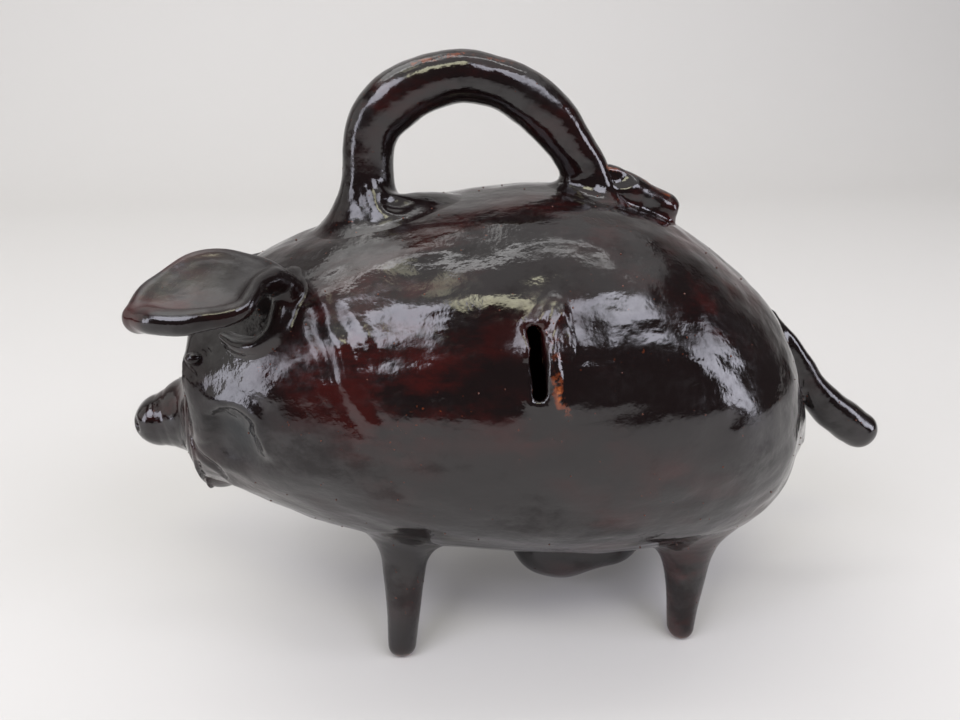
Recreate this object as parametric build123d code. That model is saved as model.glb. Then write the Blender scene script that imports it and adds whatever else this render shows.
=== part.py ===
"""Glazed earthenware pig money bank, built as a potter builds it.

A hollow thrown body lies on its side. A snout, a lower lip, ears, eyes, legs, an udder, a tail and a looped
carrying handle are modelled from solid clay and luted on to it. A coin slot is cut in the left flank.

Frame: millimetres, +Z up, the pig faces -X and its left flank faces -Y. The origin is at the bottom centre
of the bounding box, on the table.
"""

import math
import os

from build123d import *

# Thrown body
BODY_LENGTH = 250.0
BODY_HEIGHT = 153.0
BODY_WIDTH = 151.0
BELLY_CLEARANCE = 31.0
WALL = 6.0
FACE_EDGE_RADIUS = 11.0

# The body's side outline: share of the length from face to rump, then top and underside as shares of the height
BODY_OUTLINE = [
    (0.00, 0.730, 0.280),
    (0.06, 0.793, 0.223),
    (0.14, 0.865, 0.153),
    (0.26, 0.935, 0.083),
    (0.42, 0.985, 0.033),
    (0.58, 1.000, 0.010),
    (0.74, 0.920, 0.000),
    (0.85, 0.789, 0.018),
    (0.92, 0.670, 0.083),
    (0.96, 0.560, 0.165),
    (0.985, 0.475, 0.215),
    (1.00, 0.425, 0.240),
]

# Angles on the flank run from 0 on the back through 90 at the side to 180 under the belly.
# Coin slot, cut upright in the left flank, with a raised burr round it
SLOT_LENGTH = 26.0
SLOT_WIDTH = 5.0
SLOT_BURR_WIDTH = 3.0
SLOT_BURR_HEIGHT = 1.2
SLOT_BACK_FROM_FACE = 124.0
SLOT_ANGLE = 65.7

# Face
SNOUT_LENGTH = 28.5
SNOUT_ROOT_RADIUS = 15.0
SNOUT_TIP_RADIUS = 12.0
SNOUT_EDGE_RADIUS = 7.0
SNOUT_DROOP = 8.0
SNOUT_BELOW_AXIS = 13.5
NOSTRIL_RADIUS = 2.3
NOSTRIL_DEPTH = 5.0
NOSTRIL_SPACING = 10.0
LIP_LENGTH = 24.0
LIP_WIDTH = 27.0
LIP_HEIGHT = 20.0
LIP_TILT = 28.0
LIP_BACK_FROM_FACE = 3.0
LIP_BELOW_JAW = 1.5
EYE_LENGTH = 8.0
EYE_HEIGHT = 6.0
EYE_STAND_OUT = 2.5
EYE_TURN = 40.0
EYE_BACK_FROM_FACE = 4.5
EYE_ANGLE = 52.5
DIMPLE_RADIUS = 15.0
DIMPLE_DEPTH = 3.0
DIMPLE_BACK_FROM_FACE = 21.0
DIMPLE_ANGLE = 92.0

# Ears: forward-lopped leaves, luted by their rear end
EAR_LENGTH = 54.0
EAR_WIDTH = 38.0
EAR_THICKNESS = 9.0
EAR_EDGE_RADIUS = 3.5
EAR_ROOT_WIDTH = 24.0
EAR_BACK_FROM_FACE = 38.0
EAR_SPLAY = 8.0
EAR_SINK = 10.0
EAR_LIFT = 4.0

# How each ear hangs: (root angle on the flank, tilt of the leaf outwards, rise towards the tip)
LEFT_EAR_HANG = (41.0, 40.0, 6.0)
RIGHT_EAR_HANG = (60.0, 50.0, -20.0)

# Legs: (how far back from the face, half the track at the foot, half the track at the root, root height)
LEG_PLACES = {
    "front": (76.0, 40.0, 22.0, 88.0),
    "rear": (194.0, 40.0, 28.0, 70.0),
}
FOOT_RADIUS = 6.0
FOOT_EDGE_RADIUS = 3.0
LEG_ROOT_RADIUS = 16.0
LEG_TAPER = 1.2
LEG_SECTIONS = 6

# Udder: a thumbed lobe under the belly, ahead of the rear legs
UDDER_LENGTH = 58.0
UDDER_BREADTH = 42.0
UDDER_HANG = 24.0
UDDER_BACK_FROM_FACE = 156.0

# Handle: a pulled coil, looped fore and aft over the back
HANDLE_FRONT_BACK_FROM_FACE = 70.0
HANDLE_SPAN = 86.0
HANDLE_RISE = 41.0
HANDLE_RADIUS_FRONT = 10.2
HANDLE_RADIUS_TOP = 9.2
HANDLE_RADIUS_REAR = 7.6
HANDLE_FOOT_RADIUS = 14.0
HANDLE_LUG_LENGTH = 34.0
HANDLE_LUG_WIDTH = 18.0
HANDLE_LUG_THICKNESS = 15.0
HANDLE_LUG_PROUD = 9.5

# Tail: a tapering coil laid down the rump, its blunt end kicked out
TAIL_ROOT_RADIUS = 4.0
TAIL_TIP_RADIUS = 8.5
TAIL_REACH = 41.0
TAIL_DROP = 6.0
TAIL_ROOT_RISE = 31.0
TAIL_ROOT_SINK = 20.0


def outline_at(share):
    """Top and underside of the body, above the table, at a share of its length."""
    for (start, top_a, low_a), (end, top_b, low_b) in zip(BODY_OUTLINE, BODY_OUTLINE[1:]):
        if share <= end:
            part_way = (share - start) / (end - start)
            top = top_a + part_way * (top_b - top_a)
            low = low_a + part_way * (low_b - low_a)
            return BELLY_CLEARANCE + top * BODY_HEIGHT, BELLY_CLEARANCE + low * BODY_HEIGHT
    return outline_at(1.0)


def axis_height(back_from_face):
    """Height of the body's centre line at a distance back from the face."""
    return sum(outline_at(back_from_face / BODY_LENGTH)) / 2


def half_height(back_from_face):
    top, low = outline_at(back_from_face / BODY_LENGTH)
    return (top - low) / 2


def half_width(back_from_face):
    return half_height(back_from_face) * BODY_WIDTH / BODY_HEIGHT


def flank_point(back_from_face, angle, outward=0.0):
    """A point on the left flank, or moved outward from it."""
    turn = math.radians(angle)
    across = (half_width(back_from_face) + outward) * math.sin(turn)
    above = (half_height(back_from_face) + outward) * math.cos(turn)
    return Vector(back_from_face, -across, axis_height(back_from_face) + above)


def egg(grow=0.0):
    """The closed body, grown or shrunk all round by grow. X runs from 0 at the face to BODY_LENGTH at the rump."""
    sections = []
    for share, top, low in BODY_OUTLINE:
        high = (top - low) / 2 * BODY_HEIGHT + grow
        wide = (top - low) / 2 * BODY_WIDTH + grow
        if min(high, wide) < WALL / 2:
            continue
        along = -grow + share * (BODY_LENGTH + 2 * grow)
        middle = BELLY_CLEARANCE + (top + low) / 2 * BODY_HEIGHT
        station = Plane(origin=(along, 0, middle), x_dir=(0, 1, 0), z_dir=(1, 0, 0))
        sections.append(station * Ellipse(wide, high))
    return loft(sections)


def coil(places, across, thick):
    """A coil of clay through places, with an oval section at each: wide from side to side, thick square to that."""
    path = Spline([Vector(*place) for place in places])
    last = len(places) - 1
    sections = []
    for i in range(len(places)):
        station = Plane(origin=path @ (i / last), x_dir=(0, 1, 0), z_dir=path % (i / last))
        sections.append(station * Ellipse(across[i] / 2, thick[i] / 2))
    return loft(sections)


def on_body(piece, *neighbours):
    """The clay that shows outside the body, trimmed to lie against it and its neighbours."""
    trimmed = piece - body_outside
    for other in neighbours:
        trimmed = trimmed - other
    return max(trimmed.solids(), key=lambda solid: solid.volume)


def right_hand(piece):
    return mirror(piece, about=Plane.XZ)


def slot_prism(extra):
    """A round-ended upright prism through the left flank, larger all round by extra."""
    outline = SlotOverall(SLOT_LENGTH + 2 * extra, SLOT_WIDTH + 2 * extra, rotation=90)
    height = flank_point(SLOT_BACK_FROM_FACE, SLOT_ANGLE).Z
    place = Plane(origin=(SLOT_BACK_FROM_FACE, -BODY_WIDTH, height), z_dir=(0, 1, 0), x_dir=(1, 0, 0))
    return extrude(place * outline, BODY_WIDTH)


def dimple():
    """The thumb dimple in the left cheek."""
    centre = flank_point(DIMPLE_BACK_FROM_FACE, DIMPLE_ANGLE, DIMPLE_RADIUS - DIMPLE_DEPTH)
    return Pos(*centre) * Sphere(DIMPLE_RADIUS)


def body_shell():
    """The hollow thrown body with its coin slot, the burr round the slot and the thumbed cheeks."""
    burr = egg(SLOT_BURR_HEIGHT) & slot_prism(SLOT_BURR_WIDTH)
    cheek = dimple()
    shell = body_outside + burr - egg(-WALL) - slot_prism(0.0)
    return shell - cheek - right_hand(cheek)


def whole_nose():
    """A stubby nose with two pricked nostrils, reaching back into the head."""
    buried = Plane(origin=(FACE_EDGE_RADIUS, 0, 0), z_dir=(-1, 0, 0))
    whole_length = FACE_EDGE_RADIUS + SNOUT_LENGTH
    base_only = (Align.CENTER, Align.CENTER, Align.MIN)
    nose = buried * Cone(SNOUT_ROOT_RADIUS, SNOUT_TIP_RADIUS, whole_length, align=base_only)
    nose = fillet(nose.edges().group_by(Axis.X)[0], SNOUT_EDGE_RADIUS)
    for side in (-1, 1):
        mouth = Plane(origin=(-SNOUT_LENGTH, side * NOSTRIL_SPACING / 2, -NOSTRIL_RADIUS), z_dir=(1, 0, 0))
        nose = nose - extrude(mouth * Circle(NOSTRIL_RADIUS), NOSTRIL_DEPTH)
    return Pos(0, 0, axis_height(0) - SNOUT_BELOW_AXIS) * Rot(0, -SNOUT_DROOP, 0) * nose


def lower_lip():
    """The lip luted under the snout."""
    turned = Rot(0, 0, 90) * Sphere(1)  # so that the ball's seam stays inside the head
    ball = scale(turned, by=(LIP_LENGTH / 2, LIP_WIDTH / 2, LIP_HEIGHT / 2))
    jaw = outline_at(LIP_BACK_FROM_FACE / BODY_LENGTH)[1]
    return on_body(Pos(LIP_BACK_FROM_FACE, 0, jaw - LIP_BELOW_JAW) * Rot(0, -LIP_TILT, 0) * ball, whole_nose())


def eye():
    """The left eye, a small pressed bead."""
    bead = scale(Sphere(1), by=(EYE_LENGTH / 2, EYE_STAND_OUT * 2, EYE_HEIGHT / 2))
    centre = flank_point(EYE_BACK_FROM_FACE, EYE_ANGLE, -EYE_STAND_OUT)
    return on_body(Pos(*centre) * Rot(0, 0, -EYE_TURN) * bead)


def ear(root_angle, tilt, rise):
    """An ear as it hangs on the left: a thick leaf from its root on the side of the head to its blunt tip."""
    outline = [
        (-EAR_SINK, -EAR_ROOT_WIDTH / 2),
        (0.35 * EAR_LENGTH, -EAR_WIDTH / 2),
        (0.75 * EAR_LENGTH, -0.40 * EAR_WIDTH),
        (EAR_LENGTH, 0.10 * EAR_WIDTH),
        (0.70 * EAR_LENGTH, 0.46 * EAR_WIDTH),
        (0.30 * EAR_LENGTH, EAR_WIDTH / 2),
        (-EAR_SINK, EAR_ROOT_WIDTH / 2),
    ]
    slab = extrude(make_face([Spline(outline), Line(outline[-1], outline[0])]), EAR_THICKNESS / 2, both=True)
    leaf = fillet(slab.edges().filter_by(GeomType.BSPLINE), EAR_EDGE_RADIUS)
    root = flank_point(EAR_BACK_FROM_FACE, root_angle, EAR_LIFT)
    facing = Rot(0, rise, 0) * Rot(tilt, 0, 0) * Rot(0, 0, 180 + EAR_SPLAY)
    return on_body(Pos(*root) * facing * leaf)


def leg(back, foot_track, root_track, root_height):
    """A left leg: a tapering peg, rounded at the foot and splayed into the belly."""
    sections = []
    for i in range(LEG_SECTIONS):
        share = i / (LEG_SECTIONS - 1)
        radius = FOOT_RADIUS + (LEG_ROOT_RADIUS - FOOT_RADIUS) * share**LEG_TAPER
        across = foot_track + (root_track - foot_track) * share
        sections.append(Pos(back, -across, share * root_height) * Circle(radius))
    peg = loft(sections)
    return on_body(fillet(peg.edges().sort_by(Axis.Z)[0], FOOT_EDGE_RADIUS))


def udder():
    """A lobe under the belly."""
    belly = outline_at(UDDER_BACK_FROM_FACE / BODY_LENGTH)[1]
    lobe = scale(Sphere(1), by=(UDDER_LENGTH / 2, UDDER_BREADTH / 2, UDDER_HANG))
    return on_body(Pos(UDDER_BACK_FROM_FACE, 0, belly) * lobe)


def handle():
    """The looped coil, wider where its front foot is smeared on to the back."""
    front = HANDLE_FRONT_BACK_FROM_FACE
    rear = front + HANDLE_SPAN
    front_top = outline_at(front / BODY_LENGTH)[0]
    rear_top = outline_at(rear / BODY_LENGTH)[0]
    crown = BELLY_CLEARANCE + BODY_HEIGHT + HANDLE_RISE
    places = [
        (front - 2.0, 0, front_top - WALL),
        (front, 0, front_top + 0.34 * (crown - front_top)),
        (front + 0.10 * HANDLE_SPAN, 0, front_top + 0.72 * (crown - front_top)),
        (front + 0.40 * HANDLE_SPAN, 0, crown),
        (front + 0.70 * HANDLE_SPAN, 0, rear_top + 0.78 * (crown - rear_top)),
        (front + 0.90 * HANDLE_SPAN, 0, rear_top + 0.36 * (crown - rear_top)),
        (rear, 0, rear_top - WALL),
    ]
    across = [
        2 * HANDLE_FOOT_RADIUS,
        2 * HANDLE_RADIUS_FRONT,
        2 * HANDLE_RADIUS_FRONT,
        2 * HANDLE_RADIUS_TOP,
        2 * HANDLE_RADIUS_TOP,
        2 * HANDLE_RADIUS_REAR,
        2 * HANDLE_RADIUS_REAR,
    ]
    return on_body(coil(places, across, across))


def handle_lug(loop):
    """The coil's thumbed-down rear end, lying along the back behind the handle."""
    start = HANDLE_FRONT_BACK_FROM_FACE + HANDLE_SPAN
    middle = start + HANDLE_LUG_LENGTH / 2
    back_here = outline_at(start / BODY_LENGTH)[0]
    back_there = outline_at((start + HANDLE_LUG_LENGTH) / BODY_LENGTH)[0]
    slope = math.degrees(math.atan2(back_here - back_there, HANDLE_LUG_LENGTH))
    height = outline_at(middle / BODY_LENGTH)[0] + HANDLE_LUG_PROUD - HANDLE_LUG_THICKNESS / 2
    pad = scale(Sphere(1), by=(HANDLE_LUG_LENGTH / 2, HANDLE_LUG_WIDTH / 2, HANDLE_LUG_THICKNESS / 2))
    return on_body(Pos(middle, 0, height) * Rot(0, slope, 0) * pad, loop)


def tail():
    """The tail, from a thin root up the rump to a blunt end kicked out behind."""
    pole = axis_height(BODY_LENGTH)
    tip = Vector(BODY_LENGTH + TAIL_REACH, 0, pole - TAIL_DROP)
    places = [
        (BODY_LENGTH - TAIL_ROOT_SINK, 0, pole + TAIL_ROOT_RISE + TAIL_ROOT_SINK / 2),
        (BODY_LENGTH - 2.0, 0, pole + 0.72 * TAIL_ROOT_RISE),
        (BODY_LENGTH + 0.45 * TAIL_REACH, 0, tip.Z + 0.2 * TAIL_ROOT_RISE),
        tip,
    ]
    radii = [TAIL_ROOT_RADIUS, 0.75 * TAIL_TIP_RADIUS, 0.95 * TAIL_TIP_RADIUS, TAIL_TIP_RADIUS]
    widths = [2 * radius for radius in radii]
    rope = coil(places, widths, widths)
    tip_edge = rope.edges().sort_by(Axis.X)[-1]
    return on_body(fillet(tip_edge, 0.8 * TAIL_TIP_RADIUS))


body_outside = egg()
face_edge = body_outside.edges().sort_by(Axis.X)[0]
body_outside = fillet(face_edge, FACE_EDGE_RADIUS)

pieces = {"lower_lip": lower_lip()}
pieces["snout"] = on_body(whole_nose())
pieces["handle"] = handle()
pieces["handle_lug"] = handle_lug(pieces["handle"])
pieces["tail"] = tail()
pieces["udder"] = udder()
pieces["left_ear"] = ear(*LEFT_EAR_HANG)
pieces["right_ear"] = right_hand(ear(*RIGHT_EAR_HANG))
paired = {"eye": eye()}
for end, place in LEG_PLACES.items():
    paired[f"{end}_leg"] = leg(*place)
for name, left in paired.items():
    pieces[f"left_{name}"] = left
    pieces[f"right_{name}"] = right_hand(left)

pieces["body_shell"] = body_shell()

boxes = [piece.bounding_box() for piece in pieces.values()]
front = min(box.min.X for box in boxes)
back = max(box.max.X for box in boxes)
table = min(box.min.Z for box in boxes)
to_origin = Pos(-(front + back) / 2, 0, -table)
os.makedirs("parts", exist_ok=True)
for name, piece in pieces.items():
    export_step(to_origin * piece, f"parts/{name}.step")
print(f"length {back - front:.1f}, height {max(box.max.Z for box in boxes) - table:.1f}")
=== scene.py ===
from math import radians

import bpy
import numpy as np
from mathutils import Matrix, Vector
from mathutils.bvhtree import BVHTree


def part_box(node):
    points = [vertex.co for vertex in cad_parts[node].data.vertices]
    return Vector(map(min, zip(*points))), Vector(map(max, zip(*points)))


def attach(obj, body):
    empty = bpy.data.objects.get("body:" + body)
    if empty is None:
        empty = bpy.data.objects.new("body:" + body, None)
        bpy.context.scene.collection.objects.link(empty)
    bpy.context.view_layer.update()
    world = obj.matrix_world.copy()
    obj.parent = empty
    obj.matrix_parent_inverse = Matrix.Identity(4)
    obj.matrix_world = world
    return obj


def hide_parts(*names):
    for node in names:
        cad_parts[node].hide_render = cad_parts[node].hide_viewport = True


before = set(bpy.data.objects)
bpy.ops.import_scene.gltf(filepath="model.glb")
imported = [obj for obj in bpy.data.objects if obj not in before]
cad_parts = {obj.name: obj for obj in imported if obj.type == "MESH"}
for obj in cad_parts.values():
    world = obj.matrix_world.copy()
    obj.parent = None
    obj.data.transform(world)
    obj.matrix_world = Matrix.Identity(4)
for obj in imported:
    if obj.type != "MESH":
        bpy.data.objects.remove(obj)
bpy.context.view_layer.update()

mm = 0.001  # shapes below are worked in millimetres, in the frame's own axes

shellLow, shellHigh = (np.array(corner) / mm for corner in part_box("body_shell"))
faceX, rumpX = shellLow[0], shellHigh[0]
print("frame loaded, body from", round(faceX, 1), "to", round(rumpX, 1))


# ---- camera
cameraSet = {"place": (-51.4, -323.4, 244.6), "heading": (0.0921, 0.9226, -0.3746), "lens": 31.875}


def placeCamera():
    data = bpy.data.cameras.new("camera")
    data.lens = cameraSet["lens"]
    data.clip_start = 0.01
    camera = bpy.data.objects.new("camera", data)
    camera.location = Vector(cameraSet["place"]) * mm
    camera.rotation_euler = Vector(cameraSet["heading"]).to_track_quat("-Z", "Y").to_euler()
    bpy.context.collection.objects.link(camera)
    bpy.context.scene.camera = camera


placeCamera()


# ---- clay as a field: each shape is a function of points that is negative inside the clay, in millimetres
clayGrain = np.random.default_rng(23).uniform(-1, 1, (32, 32, 32)).astype(np.float32)


def lumps(p, size, stretch=(1, 1, 1)):
    q = p / (np.array(stretch) * size)
    cell = np.floor(q).astype(np.int64)
    part = q - cell
    part = part**3 * (part * (6 * part - 15) + 10)
    total = np.zeros(len(p))
    for corner in np.ndindex(2, 2, 2):
        weight = np.ones(len(p))
        for axis in range(3):
            weight = weight * (part[:, axis] if corner[axis] else 1 - part[:, axis])
        i, j, k = ((cell + corner) % 32).T
        total += weight * clayGrain[i, j, k]
    return total


def meld(a, b, reach):
    share = np.clip(0.5 + 0.5 * (b - a) / reach, 0, 1)
    return b + (a - b) * share - reach * share * (1 - share)


def carve(a, b, reach):
    return -meld(-a, b, reach)  # clay a with the shape b taken out of it


def overlapOf(a, b, reach):
    return -meld(-a, -b, reach)


def soft(distance, width):
    return np.exp(-((distance / width) ** 2))


def smoothPath(points, perSpan=8):
    # a Catmull-Rom run through the points, with any number of columns
    pts = np.array(points, float)
    pts = np.vstack([2 * pts[0] - pts[1], pts, 2 * pts[-1] - pts[-2]])
    run = []
    for a, b, c, d in zip(pts, pts[1:], pts[2:], pts[3:]):
        for t in np.arange(perSpan) / perSpan:
            straight = 2 * b + (c - a) * t
            bend = (2 * a - 5 * b + 4 * c - d) * t**2
            run.append(0.5 * (straight + bend + (3 * b - a - 3 * c + d) * t**3))
    run.append(pts[-2])
    return np.array(run)


def rope(p, path):
    # path rows are x, y, z and the radius there
    nearest = np.full(len(p), 1e9)
    for start, end in zip(path, path[1:]):
        along = end[:3] - start[:3]
        t = np.clip((p - start[:3]) @ along / (along @ along), 0, 1)
        radius = start[3] + t * (end[3] - start[3])
        gap = np.linalg.norm(p - start[:3] - t[:, None] * along, axis=1) - radius
        nearest = np.minimum(nearest, gap)
    return nearest


def pebble(p, centre, radii):
    q = (p - centre) / radii
    size = np.linalg.norm(q, axis=1)
    slope = np.linalg.norm(q / radii, axis=1)
    return size * (size - 1) / np.maximum(slope, 1e-6)


def toLeft(p):
    q = p.copy()
    q[:, 1] = -np.abs(q[:, 1])
    return q


# ---- the thrown body's outline is read from the frame, so that the pieces sit where the frame has them
outlineSet = {
    "stations": 72, "above": 50, "below": 30, "margin": 40, "rows": 4000,
    "faceFall": 300, "rumpFall": 60, "smoothing": 61,
}


def thrownOutline():
    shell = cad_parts["body_shell"]
    tree = BVHTree.FromObject(shell, bpy.context.evaluated_depsgraph_get())
    count = outlineSet["stations"]
    turn = (np.arange(count) + 0.5) / count * np.pi
    stations, tops, lows = [], [], []
    for x in faceX + (rumpX - faceX) * (0.5 - 0.5 * np.cos(turn)):
        above = Vector((x, 0, shellHigh[2] + outlineSet["above"])) * mm
        below = Vector((x, 0, shellLow[2] - outlineSet["below"])) * mm
        top = tree.ray_cast(above, Vector((0, 0, -1)))[0]
        low = tree.ray_cast(below, Vector((0, 0, 1)))[0]
        if top and low:
            stations.append(x)
            tops.append(top.z / mm)
            lows.append(low.z / mm)
    return np.array(stations), np.array(tops), np.array(lows)


def steadyCurve(x, known, values):
    # a curve through the known values that doesn't overshoot them
    step = np.diff(known)
    rise = np.diff(values) / step
    slope = np.zeros(len(known))
    same = rise[:-1] * rise[1:] > 0
    slope[1:-1][same] = 2 * rise[:-1][same] * rise[1:][same] / (rise[:-1][same] + rise[1:][same])
    slope[0], slope[-1] = rise[0], rise[-1]
    i = np.clip(np.searchsorted(known, x) - 1, 0, len(step) - 1)
    t = (x - known[i]) / step[i]
    a, b = values[i], values[i + 1]
    return (
        a * (1 + 2 * t) * (1 - t) ** 2
        + slope[i] * step[i] * t * (1 - t) ** 2
        + b * t**2 * (3 - 2 * t)
        + slope[i + 1] * step[i] * t**2 * (t - 1)
    )


bodySet = {
    "wall": 7.0, "faceDome": 1.2, "rumpDome": 2.0, "widthShare": 151 / 153, "rounding": 1.0,
    "reliefReach": 12, "headLength": 95, "widest": 74.4, "widestBand": 3,
}
stationX, topZ, lowZ = thrownOutline()
tableX = np.linspace(faceX - outlineSet["margin"], rumpX + outlineSet["margin"], outlineSet["rows"])
insideX = np.clip(tableX, stationX[0], stationX[-1])
knownX = np.concatenate([[faceX - bodySet["faceDome"]], stationX, [rumpX + bodySet["rumpDome"]]])
knownSquare = np.concatenate([[0], ((topZ - lowZ) / 2) ** 2, [0]])
radiusSquare = steadyCurve(np.clip(tableX, knownX[0], knownX[-1]), knownX, knownSquare)
before, after = tableX < knownX[0], tableX > knownX[-1]
radiusSquare[before] = (tableX[before] - knownX[0]) * outlineSet["faceFall"]
radiusSquare[after] = (knownX[-1] - tableX[after]) * outlineSet["rumpFall"]
middleZ = steadyCurve(insideX, stationX, (topZ + lowZ) / 2)
smoothing = np.hanning(outlineSet["smoothing"]) / np.hanning(outlineSet["smoothing"]).sum()
middleZ = np.convolve(np.pad(middleZ, outlineSet["smoothing"] // 2, mode="edge"), smoothing, mode="valid")
squareSlope = np.gradient(radiusSquare, tableX)
print("body outline read at", len(stationX), "stations")


def plainBody(p):
    x = p[:, 0]
    square = np.interp(x, tableX, radiusSquare)
    slope = np.interp(x, tableX, squareSlope)
    across = p[:, 1] / bodySet["widthShare"]
    above = p[:, 2] - np.interp(x, tableX, middleZ)
    spread = across**2 + above**2
    return (spread - square) / np.sqrt(4 * spread + slope**2 + 1)


def flankPoint(x, z, side=-1):
    # the point on the plain body's side at that x and height
    radius = np.sqrt(np.interp(x, tableX, radiusSquare))
    above = z - np.interp(x, tableX, middleZ)
    return np.array([x, side * np.sqrt(max(radius**2 - above**2, 0)) * bodySet["widthShare"], z])


# ---- marks on the body
slotSet = {
    "x": faceX + 124.3, "z": 139.0, "length": 25.0, "width": 4.8, "lean": 0.06, "rounding": 0.9, "reach": 25,
}
slotLip = [(1.5, 0, 154, 0), (-1.2, 0, 147, 0), (-1.4, 0, 138, 0), (-0.6, 0, 130, 0), (1.0, 0, 125, 0)]
slotArch = [(-10.5, 0, 141, 0), (-6.5, 0, 150.5, 0), (0.4, 0, 157.6, 0), (3.4, 0, 150, 0), (4.0, 0, 141, 0)]
slotPits = [(-2.8, 149.2, 0.9), (-3.0, 145.4, 1.0), (0.8, 128.6, 0.7), (2.4, 126.6, 0.6)]
# finger dents round the slot: depth, then place and size across and along it
slotDents = [(2.0, -13, 11, -2, 13), (1.0, 16, 7, 2, 14), (1.0, 4, 12, -23, 7)]
cheekSet = {"x": faceX + 18.8, "z": 106.3, "size": (8.8, 9.0), "depth": 5.2, "thicker": 4.0, "thickReach": 15.0}
eyeSet = {"x": faceX + 5.4, "z": 130.4, "bead": (3.2, 2.6, 2.3)}
pitBrow = [(faceX + dx, 0, z, 0) for dx, z in ((11.5, 110.5), (15.5, 114.0), (20.5, 115.0), (25.5, 112.0))]
pleatSet = {"first": faceX + 47.0, "spacing": 10.5, "lean": 0.42, "height": 0.62, "middleZ": 139.0}
mouthBends = ((-1, -22, 99), (1, -30, 95), (4, -33.5, 91.5), (8.5, -33.5, 87.5), (11, -31, 82))
mouthPath = [(faceX + dx, y, z, 0) for dx, y, z in mouthBends]
lidPaths = [
    [(faceX + 3.4, -25.5, 135.2, 0), (faceX + 7.2, -28.6, 135.4, 0), (faceX + 11.4, -32.4, 133.0, 0)],
    [(faceX + 1.6, -29.0, 127.0, 0), (faceX + 3.8, -31.6, 125.8, 0), (faceX + 5.8, -33.6, 124.8, 0)],
]
# how far each mark stands up or sinks in, and how wide it is
markSet = {
    "slotLip": (2.1, 2.3), "slotRim": (0.5, 1.6), "slotArch": (1.3, 1.7), "pitBrow": (2.6, 2.0),
    "socket": (0.8, 3.6), "lid": (1.1, 1.0), "mouth": (1.6, 1.3), "jowl": (0.7, 3.0), "cheekPuff": (0.7, 0.35),
}
# the hand's marks all over: height, size, how drawn out along the body, and a shift that sets each apart
handMarks = [
    (1.0, 34.0, (1.3, 1, 1), 0), (0.60, 17.0, (1.5, 1, 1), 50), (0.24, 6.0, (4, 1, 1), 0),
    (0.07, 2.8, (5, 1, 1), 9), (0.22, 8.5, (1, 1, 1), 80), (0.05, 3.4, (1, 1, 1), 0),
]


def mark(name, distance):
    height, width = markSet[name]
    return height * soft(distance, width)


def slotPlan(p):
    # across and along the slot, as laid out on the flank
    centre = flankPoint(slotSet["x"], slotSet["z"])
    along = (p[:, 2] - centre[2]) * 0.9 + (p[:, 1] - centre[1]) * 0.42
    across = p[:, 0] - centre[0] + slotSet["lean"] * along
    return across, along


def slotGap(p):
    across, along = slotPlan(p)
    across = across + 0.5 * lumps(p, 6.0)
    straight = (slotSet["length"] - slotSet["width"]) / 2
    past = np.maximum(np.abs(along) - straight, 0)
    return np.hypot(across, past) - slotSet["width"] / 2


def slotRelief(p):
    across, along = slotPlan(p)
    flat = p * (1, 0, 1)
    onLeft = np.clip(-p[:, 1] / 20, 0, 1)
    lip = mark("slotLip", rope(flat, smoothPath(slotLip, 4))) + mark("slotRim", slotGap(p) - 1.5)
    arch = mark("slotArch", rope(flat, smoothPath(slotArch, 4))) * (1 + 0.5 * lumps(p, 5.0))
    pits = sum(1.4 * soft(np.hypot(p[:, 0] - x, p[:, 2] - z), size) for x, z, size in slotPits)
    dents = np.zeros(len(p))
    for depth, x, wide, y, long in slotDents:
        dents += depth * soft(np.hypot((across - x) / wide, (along - y) / long), 1)
    return onLeft * (lip + arch - pits - dents)


def headRelief(q):
    cheek = flankPoint(cheekSet["x"], cheekSet["z"])
    away = np.hypot((q[:, 0] - cheek[0]) / cheekSet["size"][0], (q[:, 2] - cheek[2]) / cheekSet["size"][1])
    steep = 1 + 0.35 * np.clip((q[:, 2] - cheek[2]) / 8, -1, 1)
    nearSide = soft(np.clip(np.abs(q[:, 1] - cheek[1]) - 8, 0, 99), 5)
    dimple = cheekSet["depth"] * np.exp(-((away * steep) ** 5)) * nearSide
    dimple += mark("pitBrow", rope(q * (1, 0, 1), smoothPath(pitBrow, 4))) * nearSide
    puff = mark("cheekPuff", away - 1.4) * nearSide
    eye = flankPoint(eyeSet["x"], eyeSet["z"])
    fromEye = np.linalg.norm((q - eye) / (1.25, 1, 1), axis=1)
    lids = sum(mark("lid", rope(q, np.array(path))) for path in lidPaths)
    mouth = mark("mouth", rope(q, smoothPath(mouthPath, 4)))
    jowl = mark("jowl", rope(q, smoothPath([(x + 1, y, z - 5, r) for x, y, z, r in mouthPath], 4)))
    return puff + jowl - dimple - mark("socket", fromEye) - lids - mouth


def pleatRelief(q):
    # the clay of the neck is drawn into a few soft folds where the ear was pressed on
    above = q[:, 2] - pleatSet["middleZ"]
    phase = (q[:, 0] + pleatSet["lean"] * above - pleatSet["first"]) / pleatSet["spacing"]
    phase = phase + 0.45 * lumps(q, 21.0) + 0.12 * lumps(q + 31, 8.0)
    ridge = np.cos(2 * np.pi * phase)
    window = np.clip((phase + 0.5) / 1.0, 0, 1) * np.clip((2.6 - phase) / 1.4, 0, 1)
    reach = soft(np.clip(np.abs(above + 1) - 8, 0, 99), 12)
    uneven = 0.65 + 0.5 * lumps(q + 17, 12.0)
    return pleatSet["height"] * ridge * window * reach * uneven


def handRelief(p):
    # broad finger dents, then the long strokes of a wet hand along the body, then fine unevenness
    return sum(height * lumps(p + shift, size, stretch) for height, size, stretch, shift in handMarks)


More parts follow.
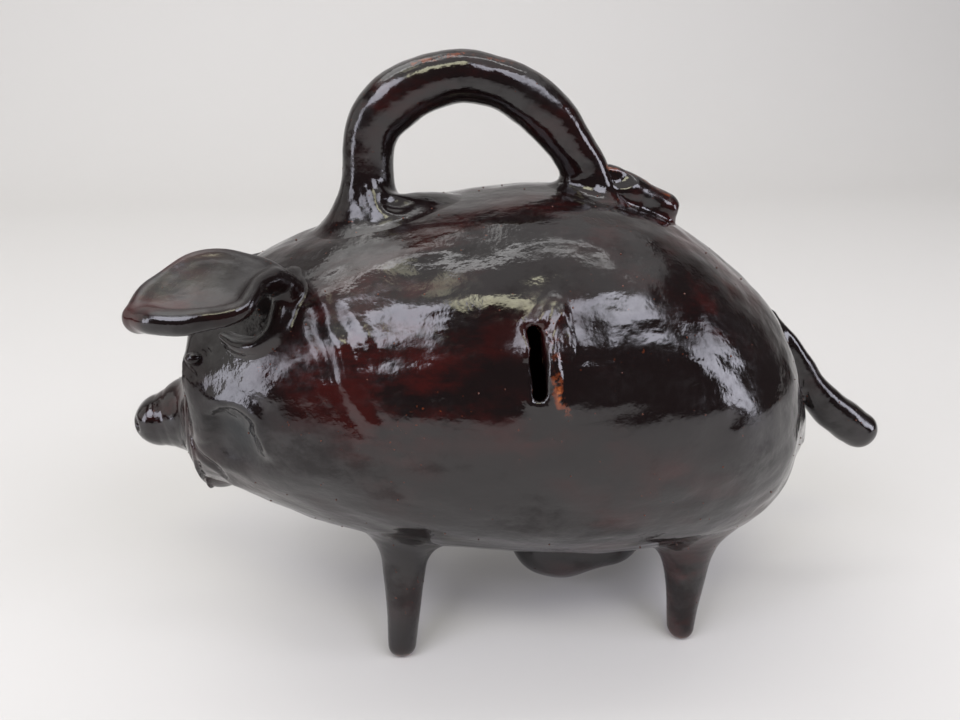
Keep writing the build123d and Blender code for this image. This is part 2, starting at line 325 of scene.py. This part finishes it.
def bodyOutside(p):
    gap = plainBody(p)
    close = np.abs(gap) < bodySet["reliefReach"]
    near = p[close]
    left = toLeft(near)
    relief = handRelief(near) + slotRelief(near)
    ahead = left[:, 0] < faceX + bodySet["headLength"]
    relief[ahead] += headRelief(left[ahead]) + pleatRelief(left[ahead])
    # nothing stands out past the widest line of the thrown body
    room = np.clip((bodySet["widest"] - np.abs(near[:, 1])) / bodySet["widestBand"], 0, 1)
    relief = np.minimum(relief, 0) + np.maximum(relief, 0) * room
    settle = np.clip(1 - np.abs(gap[close]) / bodySet["reliefReach"], 0, 1)
    gap[close] -= relief * settle**0.5
    return gap


def wholeBody(p):
    outside = bodyOutside(p)
    cheek = flankPoint(cheekSet["x"], cheekSet["z"])
    thicker = soft(np.linalg.norm(toLeft(p) - cheek, axis=1), cheekSet["thickReach"])
    hollow = plainBody(p) + bodySet["wall"] + cheekSet["thicker"] * thicker
    clay = overlapOf(outside, -hollow, bodySet["rounding"])
    atFlank = np.abs(p[:, 0] - slotSet["x"]) < slotSet["reach"]
    atFlank &= p[:, 1] < -35
    clay[atFlank] = carve(clay[atFlank], slotGap(p[atFlank]), slotSet["rounding"])
    return clay


# ---- from field to mesh
def latticeValues(field, axes, coarse=4):
    shape = tuple(len(a) for a in axes)
    values = np.empty(shape, np.float32)
    step = axes[0][1] - axes[0][0]
    middles = [a[::coarse] + step * (coarse - 1) / 2 for a in axes]
    probe = np.stack(np.meshgrid(*middles, indexing="ij"), -1)
    rough = field(probe.reshape(-1, 3)).reshape(probe.shape[:3])
    rough = rough.repeat(coarse, 0).repeat(coarse, 1).repeat(coarse, 2)[: shape[0], : shape[1], : shape[2]]
    values[:] = rough
    near = np.abs(rough) < step * coarse * 1.6 + 2.5
    i, j, k = np.nonzero(near)
    points = np.stack([axes[0][i], axes[1][j], axes[2][k]], -1)
    values[i, j, k] = field(points)
    return values


def skinOver(values, axes):
    # one point in each lattice cell that the surface crosses, and a quad round each edge that it crosses
    inside = values < 0
    cells = tuple(n - 1 for n in values.shape)

    def corner(array, c):
        return array[c[0] : c[0] + cells[0], c[1] : c[1] + cells[1], c[2] : c[2] + cells[2]]

    count = sum(corner(inside, c).astype(np.int8) for c in np.ndindex(2, 2, 2))
    mixed = (count > 0) & (count < 8)
    number = np.full(cells, -1, np.int64)
    number[mixed] = np.arange(mixed.sum())
    total = np.zeros((mixed.sum(), 3))
    crossings = np.zeros(mixed.sum())
    for axis in range(3):
        for c in np.ndindex(2, 2, 2):
            if c[axis]:
                continue
            d = tuple(c[n] + (n == axis) for n in range(3))
            a, b = corner(values, c)[mixed], corner(values, d)[mixed]
            crosses = (a < 0) != (b < 0)
            share = np.where(crosses, a / np.where(crosses, a - b, 1), 0)
            spot = np.array(c, float)[None, :].repeat(len(a), 0)
            spot[:, axis] += share
            total += spot * crosses[:, None]
            crossings += crosses
    base = np.stack(np.nonzero(mixed), -1)
    step = axes[0][1] - axes[0][0]
    low = np.array([a[0] for a in axes])
    points = low + (base + total / crossings[:, None]) * step
    quads = []
    for axis in range(3):
        first = inside[tuple(slice(0, -1) if n == axis else slice(None) for n in range(3))]
        second = inside[tuple(slice(1, None) if n == axis else slice(None) for n in range(3))]
        i, j, k = np.nonzero(first != second)
        where = np.stack([i, j, k], -1)
        u, v = (axis + 1) % 3, (axis + 2) % 3
        keep = (where[:, u] > 0) & (where[:, v] > 0) & (where[:, u] < cells[u]) & (where[:, v] < cells[v])
        where = where[keep]
        outward = first[i, j, k][keep]
        ring = []
        for du, dv in ((1, 1), (0, 1), (0, 0), (1, 0)):
            at = where.copy()
            at[:, u] -= du
            at[:, v] -= dv
            ring.append(number[at[:, 0], at[:, 1], at[:, 2]])
        ring = np.stack(ring, -1)
        quads.append(np.where(outward[:, None], ring, ring[:, ::-1]))
    return points, np.concatenate(quads)


def slopeOf(field, points, reach=0.12):
    here = field(points)
    slope = np.empty_like(points)
    for axis in range(3):
        shift = np.zeros(3)
        shift[axis] = reach
        slope[:, axis] = (field(points + shift) - here) / reach
    return here, slope


def settleOn(field, points, limit, rounds=2):
    for _ in range(rounds):
        here, slope = slopeOf(field, points)
        move = here[:, None] * slope / np.maximum((slope**2).sum(1), 0.05)[:, None]
        length = np.linalg.norm(move, axis=1)
        points = points - move * np.minimum(1, limit / np.maximum(length, 1e-9))[:, None]
    return points


def evenOut(points, quads, share=0.4):
    total = np.zeros_like(points)
    count = np.zeros(len(points))
    for a, b in ((0, 1), (1, 2), (2, 3), (3, 0)):
        for start, end in ((a, b), (b, a)):
            np.add.at(total, quads[:, start], points[quads[:, end]])
            np.add.at(count, quads[:, start], 1)
    return points + share * (total / count[:, None] - points)


# ---- glaze
glazeSet = {
    "deep": (0.0070, 0.0042, 0.0042, 1), "maroon": (0.034, 0.0052, 0.0045, 1), "rust": (0.13, 0.030, 0.010, 1),
    "amber": (0.34, 0.095, 0.025, 1), "clay": (0.42, 0.22, 0.12, 1), "pooled": (0.012, 0.017, 0.019, 1),
    "ior": 1.6, "bumpStrength": 0.45, "bumpDistance": 0.0006, "earDullness": 0.38, "bareRoughness": 0.85,
}


def glaze(name):
    material = bpy.data.materials.new(name)
    material.use_nodes = True
    tree = material.node_tree
    nodes, links = tree.nodes, tree.links
    nodes.clear()

    def attribute(title):
        node = nodes.new("ShaderNodeAttribute")
        node.attribute_name = title
        return node.outputs["Fac"]

    def noiseAt(scale, stretch=(1, 1, 1), detail=3.0, roughness=0.55):
        mapping = nodes.new("ShaderNodeMapping")
        mapping.inputs["Scale"].default_value = stretch
        links.new(spot.outputs["Object"], mapping.inputs["Vector"])
        noise = nodes.new("ShaderNodeTexNoise")
        noise.inputs["Scale"].default_value = scale
        noise.inputs["Detail"].default_value = detail
        noise.inputs["Roughness"].default_value = roughness
        links.new(mapping.outputs["Vector"], noise.inputs["Vector"])
        return noise.outputs["Fac"]

    def ramp(source, low, high, first=0.0, last=1.0):
        node = nodes.new("ShaderNodeMapRange")
        node.interpolation_type = "SMOOTHSTEP"
        for title, value in (("From Min", low), ("From Max", high), ("To Min", first), ("To Max", last)):
            node.inputs[title].default_value = value
        links.new(source, node.inputs["Value"])
        return node.outputs["Result"]

    def mix(factor, first, second):
        node = nodes.new("ShaderNodeMix")
        node.data_type = "RGBA"
        links.new(factor, node.inputs[0])
        for index, value in ((6, first), (7, second)):
            if isinstance(value, tuple):
                node.inputs[index].default_value = value
            else:
                links.new(value, node.inputs[index])
        return node.outputs[2]

    def combine(operation, first, second):
        node = nodes.new("ShaderNodeMath")
        node.operation = operation
        for index, value in ((0, first), (1, second)):
            if isinstance(value, float):
                node.inputs[index].default_value = value
            else:
                links.new(value, node.inputs[index])
        return node.outputs[0]

    spot = nodes.new("ShaderNodeTexCoord")
    shader = nodes.new("ShaderNodeBsdfPrincipled")
    shader.inputs["IOR"].default_value = glazeSet["ior"]
    out = nodes.new("ShaderNodeOutputMaterial")
    links.new(shader.outputs[0], out.inputs["Surface"])
    bare = attribute("bareClay")

    streaks = ramp(noiseAt(60, (0.45, 1, 1), 8.0, 0.70), 0.42, 0.62)
    patches = ramp(noiseAt(14, (0.8, 1, 1), 3.0), 0.42, 0.62)
    colour = mix(combine("MULTIPLY", streaks, patches), glazeSet["deep"], glazeSet["maroon"])
    colour = mix(combine("MULTIPLY", attribute("pool"), 0.8), colour, glazeSet["pooled"])
    # thin glaze breaks to rust, then to amber, along the worn edges and in scattered freckles
    ragged = combine("MULTIPLY", ramp(noiseAt(420, (1, 1, 1), 4.0, 0.65), 0.30, 0.66), attribute("wear"))
    colour = mix(ramp(ragged, 0.10, 0.40), colour, glazeSet["rust"])
    colour = mix(ramp(ragged, 0.42, 0.85), colour, glazeSet["amber"])
    specks = ramp(noiseAt(700, (1, 1, 1), 1.0), 0.72, 0.78)
    freckles = combine("MULTIPLY", specks, ramp(noiseAt(30), 0.50, 0.62))
    colour = mix(combine("MULTIPLY", freckles, 0.7), colour, glazeSet["rust"])
    colour = mix(attribute("grit"), colour, glazeSet["rust"])
    colour = mix(bare, colour, glazeSet["clay"])
    links.new(colour, shader.inputs["Base Color"])

    # a thin matt bloom lies in clouds over the glaze and dulls what it reflects
    bloom = ramp(noiseAt(24, (0.7, 1, 1), 9.0, 0.68), 0.47, 0.63)
    links.new(ramp(bloom, 0.0, 1.0, 0.52, 0.30), shader.inputs["Specular IOR Level"])
    clouded = ramp(noiseAt(55, (0.6, 1, 1), 4.0), 0.30, 0.70)
    grainy = ramp(noiseAt(380, (1, 1, 1), 3.0), 0.25, 0.75, 0.4, 1.0)
    gloss = ramp(combine("MULTIPLY", clouded, grainy), 0.0, 0.9, 0.05, 0.24)
    dullest = combine("MAXIMUM", combine("MULTIPLY", bare, glazeSet["bareRoughness"]), attribute("dull"))
    links.new(combine("MAXIMUM", gloss, dullest), shader.inputs["Roughness"])

    drawn = noiseAt(130, (0.4, 1, 1), 2.0)
    pebbled = combine("MULTIPLY", noiseAt(430, (1, 1, 1), 3.0), 0.42)
    bump = nodes.new("ShaderNodeBump")
    bump.inputs["Strength"].default_value = glazeSet["bumpStrength"]
    bump.inputs["Distance"].default_value = glazeSet["bumpDistance"]
    links.new(combine("ADD", drawn, pebbled), bump.inputs["Height"])
    links.new(bump.outputs["Normal"], shader.inputs["Normal"])
    return material


treacle = glaze("treacleGlaze")
print("glaze made")


# ---- grit: grains of clay and ash that fired under the glaze and stand up through it as pimples
gritSet = {"Density": 2600.0, "Smallest": 0.00016, "Largest": 0.00042, "Seed": 7, "Glaze": treacle}
gritKinds = {"Density": "Float", "Smallest": "Float", "Largest": "Float", "Seed": "Int", "Glaze": "Material"}
sparser = 0.6  # the share of the body's grit that the other pieces have


def gritNodes():
    group = bpy.data.node_groups.new("grit", "GeometryNodeTree")
    sockets = group.interface
    sockets.new_socket("Geometry", in_out="INPUT", socket_type="NodeSocketGeometry")
    for title, kind in gritKinds.items():
        sockets.new_socket(title, in_out="INPUT", socket_type="NodeSocket" + kind)
    sockets.new_socket("Geometry", in_out="OUTPUT", socket_type="NodeSocketGeometry")
    nodes, links = group.nodes, group.links
    given = nodes.new("NodeGroupInput")
    made = nodes.new("NodeGroupOutput")

    outside = nodes.new("FunctionNodeCompare")
    outside.operation = "LESS_THAN"
    outside.inputs["B"].default_value = 0.5
    bare = nodes.new("GeometryNodeInputNamedAttribute")
    bare.inputs["Name"].default_value = "bareClay"
    links.new(bare.outputs["Attribute"], outside.inputs["A"])

    strewn = nodes.new("GeometryNodeDistributePointsOnFaces")
    links.new(given.outputs["Geometry"], strewn.inputs["Mesh"])
    links.new(outside.outputs["Result"], strewn.inputs["Selection"])
    links.new(given.outputs["Density"], strewn.inputs["Density"])
    links.new(given.outputs["Seed"], strewn.inputs["Seed"])

    grain = nodes.new("GeometryNodeMeshIcoSphere")
    grain.inputs["Radius"].default_value = 1.0
    grain.inputs["Subdivisions"].default_value = 2
    size = nodes.new("FunctionNodeRandomValue")
    links.new(given.outputs["Smallest"], size.inputs[2])
    links.new(given.outputs["Largest"], size.inputs[3])
    links.new(given.outputs["Seed"], size.inputs["Seed"])
    placed = nodes.new("GeometryNodeInstanceOnPoints")
    links.new(strewn.outputs["Points"], placed.inputs["Points"])
    links.new(grain.outputs["Mesh"], placed.inputs["Instance"])
    links.new(size.outputs[1], placed.inputs["Scale"])

    marked = nodes.new("GeometryNodeStoreNamedAttribute")
    marked.data_type = "FLOAT"
    marked.domain = "INSTANCE"
    marked.inputs["Name"].default_value = "grit"
    marked.inputs["Value"].default_value = 0.6
    links.new(placed.outputs["Instances"], marked.inputs["Geometry"])
    joined = nodes.new("GeometryNodeJoinGeometry")
    links.new(given.outputs["Geometry"], joined.inputs["Geometry"])
    links.new(marked.outputs["Geometry"], joined.inputs["Geometry"])
    real = nodes.new("GeometryNodeRealizeInstances")
    links.new(joined.outputs["Geometry"], real.inputs["Geometry"])
    glazed = nodes.new("GeometryNodeSetMaterial")
    links.new(real.outputs["Geometry"], glazed.inputs["Geometry"])
    links.new(given.outputs["Glaze"], glazed.inputs["Material"])
    links.new(glazed.outputs["Geometry"], made.inputs["Geometry"])
    return group


def strewGrit(piece, share):
    modifier = piece.modifiers.new("grit", "NODES")
    modifier.node_group = gritGroup
    values = gritSet | {"Density": gritSet["Density"] * share}
    for item in gritGroup.interface.items_tree:
        if item.in_out == "INPUT" and item.name in values:
            modifier[item.identifier] = values[item.name]
    graph = bpy.context.evaluated_depsgraph_get()
    finished = bpy.data.meshes.new_from_object(piece.evaluated_get(graph))
    piece.modifiers.remove(modifier)
    piece.data = finished


gritGroup = gritNodes()


# ---- where the glaze has run thin or pooled
wornEdges = [
    ([(-135.5, -45.5, 157.5), (-130, -41.5, 161.8), (-124.5, -38.6, 165.4), (-118.5, -36.6, 167.6)], 1.3, 0.95),
    ([(-118.5, -36.6, 167.6), (-108, -36, 167.0)], 1.2, 0.5),
    ([(-94, -30, 162.5), (-90, -33, 161)], 1.8, 0.55),
    ([(-0.4, -60, 152), (-1.4, -66.5, 143), (-1.0, -71, 134), (0.4, -74, 126)], 1.7, 1.0),
    ([(-9.5, -64, 143), (-6, -61.5, 149), (0.3, -56.5, 157.8), (3.6, -62, 149)], 1.0, 0.6),
    ([(1.5, -75, 128), (3, -75, 122)], 2.6, 0.6),
    ([(-43, -6, 229), (-24, -6, 233.5), (-8, -6, 230)], 1.6, 0.45),
    ([(28, -5, 192), (40, -4, 190), (54, -3, 181)], 1.6, 0.5),
    ([(-160, -8, 96), (-159, 0, 100), (-160, 8, 96)], 2.0, 0.35),
]
wornFeet = {"reach": 3.0, "share": 0.6}
poolReach = 9.0


def wearOf(points):
    left = toLeft(points)
    wear = np.zeros(len(points))
    for path, width, share in wornEdges:
        spine = np.array([row + (0.0,) for row in path])
        wear = np.maximum(wear, share * soft(np.maximum(rope(left, spine), 0), width))
    return np.maximum(wear, wornFeet["share"] * soft(np.maximum(points[:, 2], 0), wornFeet["reach"]))


def poolOf(points):
    cheek = flankPoint(cheekSet["x"], cheekSet["z"])
    away = toLeft(points) - cheek
    return soft(np.linalg.norm(away, axis=1), poolReach)


def markPiece(mesh, points, node):
    layers = {"wear": wearOf(points), "pool": poolOf(points), "bareClay": np.zeros(len(points))}
    if node == "body_shell":
        deep = (plainBody(points) < 0.5 - bodySet["wall"]) & (bodyOutside(points) < -1.0)
        layers["bareClay"] = deep.astype(float)
    if node.endswith("_ear"):
        facing = np.empty(len(points) * 3, np.float32)
        mesh.vertex_normals.foreach_get("vector", facing)
        layers["dull"] = glazeSet["earDullness"] * np.clip(facing[2::3] * 2.2 - 0.9, 0, 1)
    for name, values in layers.items():
        mesh.attributes.new(name, "FLOAT", "POINT").data.foreach_set("value", values.astype(np.float32))


def clayPiece(name, node, field, low, high, step):
    low, high = np.array(low, float) - 2 * step, np.array(high, float) + 3 * step
    axes = [np.arange(low[n], high[n], step) for n in range(3)]
    points, quads = skinOver(latticeValues(field, axes), axes)
    points = settleOn(field, points, step)
    points = settleOn(field, evenOut(points, quads), step)
    mesh = bpy.data.meshes.new(name)
    mesh.from_pydata((points * mm).tolist(), [], quads.tolist())
    mesh.update()
    markPiece(mesh, points, node)
    piece = bpy.data.objects.new(name, mesh)
    bpy.context.collection.objects.link(piece)
    strewGrit(piece, 1.0 if node == "body_shell" else sparser)
    piece.data.polygons.foreach_set("use_smooth", np.ones(len(piece.data.polygons), bool))
    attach(piece, "root")
    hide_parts(node)
    print(name, len(points), "points", len(piece.data.polygons), "faces")
    return piece


def lutedTo(shape, reach, sink=0.3, buried=2.0, spread=None):
    # a lump pressed on to the body: its edge is smeared out over reach and ends just under the body's skin
    limit = spread or reach * 0.9

    def field(p):
        body = bodyOutside(p)
        lump = shape(p)
        joined = meld(body + sink, lump, reach)
        return np.maximum(np.maximum(joined, lump - limit), -(body + buried))

    return field


meshSteps = {"body": 1.55, "fine": 0.85}
bodyStep, fineStep = meshSteps["body"], meshSteps["fine"]

clayPiece("bodyShell", "body_shell", wholeBody, shellLow, shellHigh, bodyStep)


# ---- snout and lower lip
snoutSet = {"z": 94.6, "rootRadius": 19.5, "tipRadius": 10.9, "length": 28.9}


def snoutLump(p):
    tipX = faceX - snoutSet["length"] + snoutSet["tipRadius"]
    lump = rope(p, np.array([
        (faceX + 9, 0, snoutSet["z"] + 0.5, snoutSet["rootRadius"]),
        (faceX - 5, 0, snoutSet["z"], (snoutSet["rootRadius"] + snoutSet["tipRadius"]) / 2),
        (tipX, 0, snoutSet["z"] - 2, snoutSet["tipRadius"]),
    ]))
    muzzle = pebble(p, (faceX - 0.5, 0, snoutSet["z"] - 1), (5.5, 23, 18))
    lump = meld(lump, muzzle, 6.0) - 0.5 * lumps(p, 9.0)
    for side in (-1, 1):
        pit = np.array([tipX - 9.2, side * 5.4, snoutSet["z"] - 1.5])
        lump = carve(lump, np.linalg.norm(p - pit, axis=1) - 2.6, 1.6)
        crease = [(faceX - 5.0, side * 16.0, snoutSet["z"] + dz, 1.9) for dz in (7, 1, -6)]
        lump = carve(lump, rope(p, smoothPath(crease, 3)), 1.6)
    return lump


def lipLump(p):
    lump = pebble(p, (faceX + 4.5, 0, 73.0), (12.0, 14.5, 10.4)) - 0.4 * lumps(p, 8.0)
    return carve(lump, snoutLump(p), 1.0)


snoutField = lutedTo(snoutLump, 13.0, spread=10.0)
lipField = lutedTo(lipLump, 7.0)
clayPiece("snout", "snout", snoutField, (faceX - 30, -42, 60), (faceX + 22, 42, 130), fineStep)
clayPiece("lowerLip", "lower_lip", lipField, (faceX - 12, -24, 56), (faceX + 22, 22, 90), fineStep)


# ---- eyes
def eyeBead(side):
    centre = flankPoint(eyeSet["x"], eyeSet["z"], side)
    outward = np.array([-0.45, side * 0.85, 0.28])

    def bead(p):
        return pebble(p, centre + outward * 0.3, np.array(eyeSet["bead"]))

    return bead, centre


for side, name in ((-1, "left"), (1, "right")):
    bead, centre = eyeBead(side)
    field = lutedTo(bead, 0.5, buried=1.6, spread=0.3)
    clayPiece(name + "Eye", name + "_eye", field, centre - 5, centre + 5, fineStep * 0.4)


# ---- ears: a dished leaf with a thick rolled rim, and a band that wraps round its root on to the cheek
outerRim = [
    (-136.4, -51.5, 153.4, 4.5), (-130.2, -57, 154.2, 4.5), (-122, -60, 154.2, 4.3), (-114, -61, 155.2, 3.9),
    (-107, -60, 156.0, 3.5), (-101.5, -58.2, 157.4, 3.1), (-99, -54.5, 160.2, 2.8), (-97, -48, 162.6, 2.9),
    (-93, -41, 162.5, 3.8),
]
innerRim = [
    (-136.4, -50.5, 154.0, 4.4), (-134.6, -45.5, 158.8, 3.8), (-129.5, -41.2, 162.9, 3.2),
    (-123.5, -38, 166.7, 3.0), (-117.2, -36, 168.8, 2.9), (-110, -35, 168.6, 3.1), (-103, -35.2, 166.4, 3.6),
    (-96, -36, 163.2, 4.4), (-90, -36, 158, 5.0),
]
rootBand = [
    (-90.5, -27, 158.5, 3.4), (-90.6, -34, 155.6, 4.0), (-92, -39.5, 149.6, 3.6), (-95, -43.2, 143.8, 2.9),
    (-101, -43.6, 139.4, 2.4), (-108, -39.6, 138.2, 2.0), (-114, -34.6, 140.2, 1.2),
]


# how far the right ear hangs down from where the left one stands
leftHang = {"turn": (6, 40), "place": (-93.0, -38.5, 153.5)}
rightHang = {"turn": (-20, 50), "place": (-93.0, -48.1, 138.3)}


def hangTurn(hang):
    rise, tilt = hang["turn"]
    return Matrix.Rotation(radians(rise), 3, "Y") @ Matrix.Rotation(radians(tilt), 3, "X")


def earLump(side):
    outer, inner = smoothPath(outerRim, 5), smoothPath(innerRim, 5)
    band = smoothPath(rootBand, 5)
    # the leaf hangs between the rims, dropping steeply inside the near one and rising gently to the far one
    strands = []
    count = 9
    travel = np.linspace(0, 1, len(outer))
    along = np.sin(np.pi * np.clip(0.08 + travel * 0.95, 0, 1)) ** 0.5
    for n in range(1, count):
        share = n / count
        strand = outer * (1 - share) + inner * share
        sag = 1.9 * share**0.55 * (1 - share)
        strand[:, 2] -= 5.2 * sag * along
        strand[:, 1] += 2.0 * sag * along
        strand[:, 3] = 3.0 - 0.5 * sag
        strands.append(strand)
    turn = np.array(hangTurn(leftHang) @ hangTurn(rightHang).transposed())

    def lump(p):
        q = toLeft(p)
        if side > 0:
            q = (q - rightHang["place"]) @ turn.T + leftHang["place"]
        ear = meld(rope(q, outer), rope(q, inner), 1.5)
        leaf = rope(q, strands[0])
        for strand in strands[1:]:
            leaf = meld(leaf, rope(q, strand), 2.6)
        ear = meld(meld(ear, leaf, 1.6), rope(q, band), 3.0)
        return ear - 0.3 * lumps(p, 8.0)

    return lump


leftEarField = lutedTo(earLump(-1), 4.0, spread=3.4)
rightEarField = lutedTo(earLump(1), 4.0, spread=3.4)
clayPiece("leftEar", "left_ear", leftEarField, (-146, -68, 132), (-80, -18, 176), fineStep)
clayPiece("rightEar", "right_ear", rightEarField, (-146, 26, 100), (-76, 76, 162), fineStep)


# ---- legs
legSet = {
    "front": {
        "foot": (faceX + 76.0, 40.0), "root": (faceX + 80.0, 16.0, 84.0),
        "radii": (5.8, 7.9, 9.6, 11.0, 12.0), "melt": 11.0,
    },
    "rear": {
        "foot": (faceX + 193.6, 40.0), "root": (faceX + 198.0, 25.0, 66.0),
        "radii": (5.6, 7.5, 9.6, 11.6, 13.5), "melt": 12.0,
    },
}


def legLump(place, side):
    footX, footY = place["foot"]
    rootX, rootY, rootZ = place["root"]
    path = []
    for n, radius in enumerate(place["radii"]):
        share = n / (len(place["radii"]) - 1)
        z = 5.0 + (rootZ - 5.0) * share
        x = footX + (rootX - footX) * share
        y = side * (footY + (rootY - footY) * share)
        path.append((x, y, z, radius))
    path = smoothPath(path, 6)

    def lump(p):
        peg = rope(p, path) - 0.55 * lumps(p, 9.0, (1, 1, 2.6))
        return overlapOf(peg, -p[:, 2], 1.6)

    return lump


for end, place in legSet.items():
    for side, name in ((-1, "left"), (1, "right")):
        x, y = place["foot"]
        low = (x - 36, min(side * 8, side * 76), 0)
        high = (x + 40, max(side * 8, side * 76), place["root"][2] + 20)
        field = lutedTo(legLump(place, side), place["melt"])
        clayPiece(name + end.capitalize() + "Leg", f"{name}_{end}_leg", field, low, high, fineStep * 1.2)


# ---- udder
def udderLump(p):
    lobe = meld(pebble(p, (17, 0, 27), (23, 20, 20)), pebble(p, (35, 0, 29), (20, 18, 17)), 6.0)
    return lobe - 0.5 * lumps(p, 11.0)


clayPiece("udder", "udder", lutedTo(udderLump, 6.0), (-14, -34, 5), (68, 34, 46), fineStep * 1.2)


# ---- handle, its thumbed rear end and the tail
handlePath = [
    (-63, 0, 172, 12.5), (-61.4, 0, 186, 9.8), (-60.6, 0, 198.8, 9.2), (-57.4, 0, 209.2, 9.9),
    (-49.8, 0, 216.6, 10.5), (-40.6, 0, 221.6, 10.0), (-26.1, 0, 224.6, 9.1), (-11.5, 0, 221.8, 9.0),
    (-1.2, 0, 216.4, 9.6), (8.4, 0, 208.2, 9.5), (17.4, 0, 196.6, 8.5), (23.0, 0, 188.6, 7.4),
    (26.5, 0, 179, 7.0),
]
wadPath = [
    (-60, -7, 185, 4.5), (-57, -8, 179, 6.5), (-50, -7, 176.5, 6.2), (-42, -5, 177.5, 4.5), (-36, -3, 177, 3.0),
]
lugPath = [(27.5, -1, 186.5, 6.2), (36, -1.5, 183.2, 6.6), (45, -1, 179, 6.2), (53, 0, 174.6, 6.3)]
tailPath = [
    (103, 0, 127.5, 3.2), (111, 0, 117.5, 4.2), (118.5, 0, 106, 5.6), (125.5, 0, 95.5, 6.9),
    (134.5, 0, 85.5, 8.2), (143, 0, 79, 8.6), (150.6, 0, 73.4, 8.4),
]


def handleLump(p):
    coil = rope(p, smoothPath(handlePath, 8))
    # the strap of the coil is pulled a little flat, with one faint edge along its outer side, set a little to
    # the left
    edge = smoothPath([(x, y, z, r * 0.80) for x, y, z, r in handlePath], 8)
    centre = np.array([-18.0, 0, 178.0])
    away = edge[:, :3] - centre
    away /= np.linalg.norm(away, axis=1)[:, None]
    edge[:, :3] += away * (edge[:, 3:4] * 0.20)
    edge[:, 1] -= 1.7
    coil = meld(coil, rope(p, edge), 1.2)
    wad = rope(p, smoothPath(wadPath, 5))
    coil = meld(coil, wad, 2.2)
    thumb = np.linalg.norm((p - (-49, -15.5, 182)) / (1.3, 1, 1), axis=1) - 6.5
    coil = carve(coil, thumb, 2.0)
    return coil - 0.35 * lumps(p, 12.0) - 0.1 * lumps(p, 4.0)


def lugLump(p):
    lump = rope(p, smoothPath(lugPath, 5))
    press = np.linalg.norm((p - (34.5, -9.5, 189.5)) / (1.4, 1, 1), axis=1) - 5.2
    lump = carve(lump, press, 1.8)
    notch = np.linalg.norm(p - (61.0, -4.5, 173.0), axis=1) - 3.6
    lump = carve(lump, notch, 1.5)
    lump = lump - 0.6 * lumps(p, 8.0) - 0.15 * lumps(p, 3.0)
    return carve(lump, rope(p, smoothPath(handlePath, 8)) - 0.2, 0.8)


def tailLump(p):
    return rope(p, smoothPath(tailPath, 8)) - 0.35 * lumps(p, 9.0)


clayPiece("handle", "handle", lutedTo(handleLump, 11.0), (-92, -24, 160), (46, 24, 235), fineStep * 1.15)
clayPiece("handleLug", "handle_lug", lutedTo(lugLump, 4.0), (14, -18, 164), (68, 18, 197), fineStep)
clayPiece("tail", "tail", lutedTo(tailLump, 4.5), (88, -16, 60), (161, 16, 136), fineStep)


# ---- floor and light
def studio():
    mesh = bpy.data.meshes.new("floor")
    wide, front, back, high, cove = 3.0, -2.0, 0.9, 2.2, 0.5
    bend = [(back + cove * np.sin(a), cove - cove * np.cos(a)) for a in np.linspace(0, np.pi / 2, 12)]
    curve = [(front, 0.0)] + bend + [(back + cove, high)]
    points = [(side * wide, y, z) for y, z in curve for side in (-1, 1)]
    faces = [(2 * n, 2 * n + 1, 2 * n + 3, 2 * n + 2) for n in range(len(curve) - 1)]
    mesh.from_pydata(points, [], faces)
    mesh.polygons.foreach_set("use_smooth", [True] * len(faces))
    floor = bpy.data.objects.new("floor", mesh)
    bpy.context.collection.objects.link(floor)
    pale = bpy.data.materials.new("paleFloor")
    pale.use_nodes = True
    shader = pale.node_tree.nodes["Principled BSDF"]
    shader.inputs["Base Color"].default_value = (0.64, 0.628, 0.603, 1)
    shader.inputs["Roughness"].default_value = 0.6
    mesh.materials.append(pale)


def window(name, place, aim, size, power, colour):
    data = bpy.data.lights.new(name, "AREA")
    data.shape = "RECTANGLE"
    data.size, data.size_y = size
    data.energy = power
    data.color = colour
    light = bpy.data.objects.new(name, data)
    light.location = place
    light.rotation_euler = (Vector(aim) - Vector(place)).to_track_quat("-Z", "Y").to_euler()
    bpy.context.collection.objects.link(light)


def lightRoom():
    world = bpy.data.worlds.new("room")
    bpy.context.scene.world = world
    world.use_nodes = True
    world.node_tree.nodes["Background"].inputs["Color"].default_value = (0.06, 0.055, 0.055, 1)
    aim = (0, 0, 0.12)
    day, evening = (0.88, 0.88, 1.0), (1.0, 0.97, 0.70)
    lights = [
        ("leftWindow", (-0.93, -0.84, 1.16), aim, (0.95, 0.75), 13.5, day),
        ("rightWindow", (0.74, -0.91, 1.21), aim, (1.0, 0.6), 11.5, day),
        ("doorway", (1.52, -0.42, 0.48), aim, (0.45, 0.75), 6.2, day),
        ("lowWindow", (-1.45, -0.58, 0.42), aim, (0.35, 0.70), 3.8, day),
        ("sideWall", (-2.0, 0.1, 0.8), aim, (1.6, 1.2), 4.0, (1, 0.98, 0.95)),
        ("lampLeft", (-0.50, -0.18, 1.55), aim, (0.42, 0.22), 0.5, evening),
        ("lampMiddle", (-0.10, -0.88, 1.35), aim, (0.50, 0.32), 3.2, evening),
        ("ceiling", (0, 0.5, 2.2), (0, 0.5, 0), (4.0, 4.0), 34, (1, 1, 1)),
        ("wallWash", (-0.2, 0.1, 1.9), (-0.2, 1.4, 0.6), (2.4, 0.3), 7.5, (1, 1, 1)),
        ("ceilingGlow", (-0.75, 0.65, 1.9), aim, (1.1, 0.9), 5, (1, 1, 0.98)),
    ]
    for row in lights:
        window(*row)


studio()
lightRoom()
bpy.context.scene.view_settings.view_transform = "Standard"
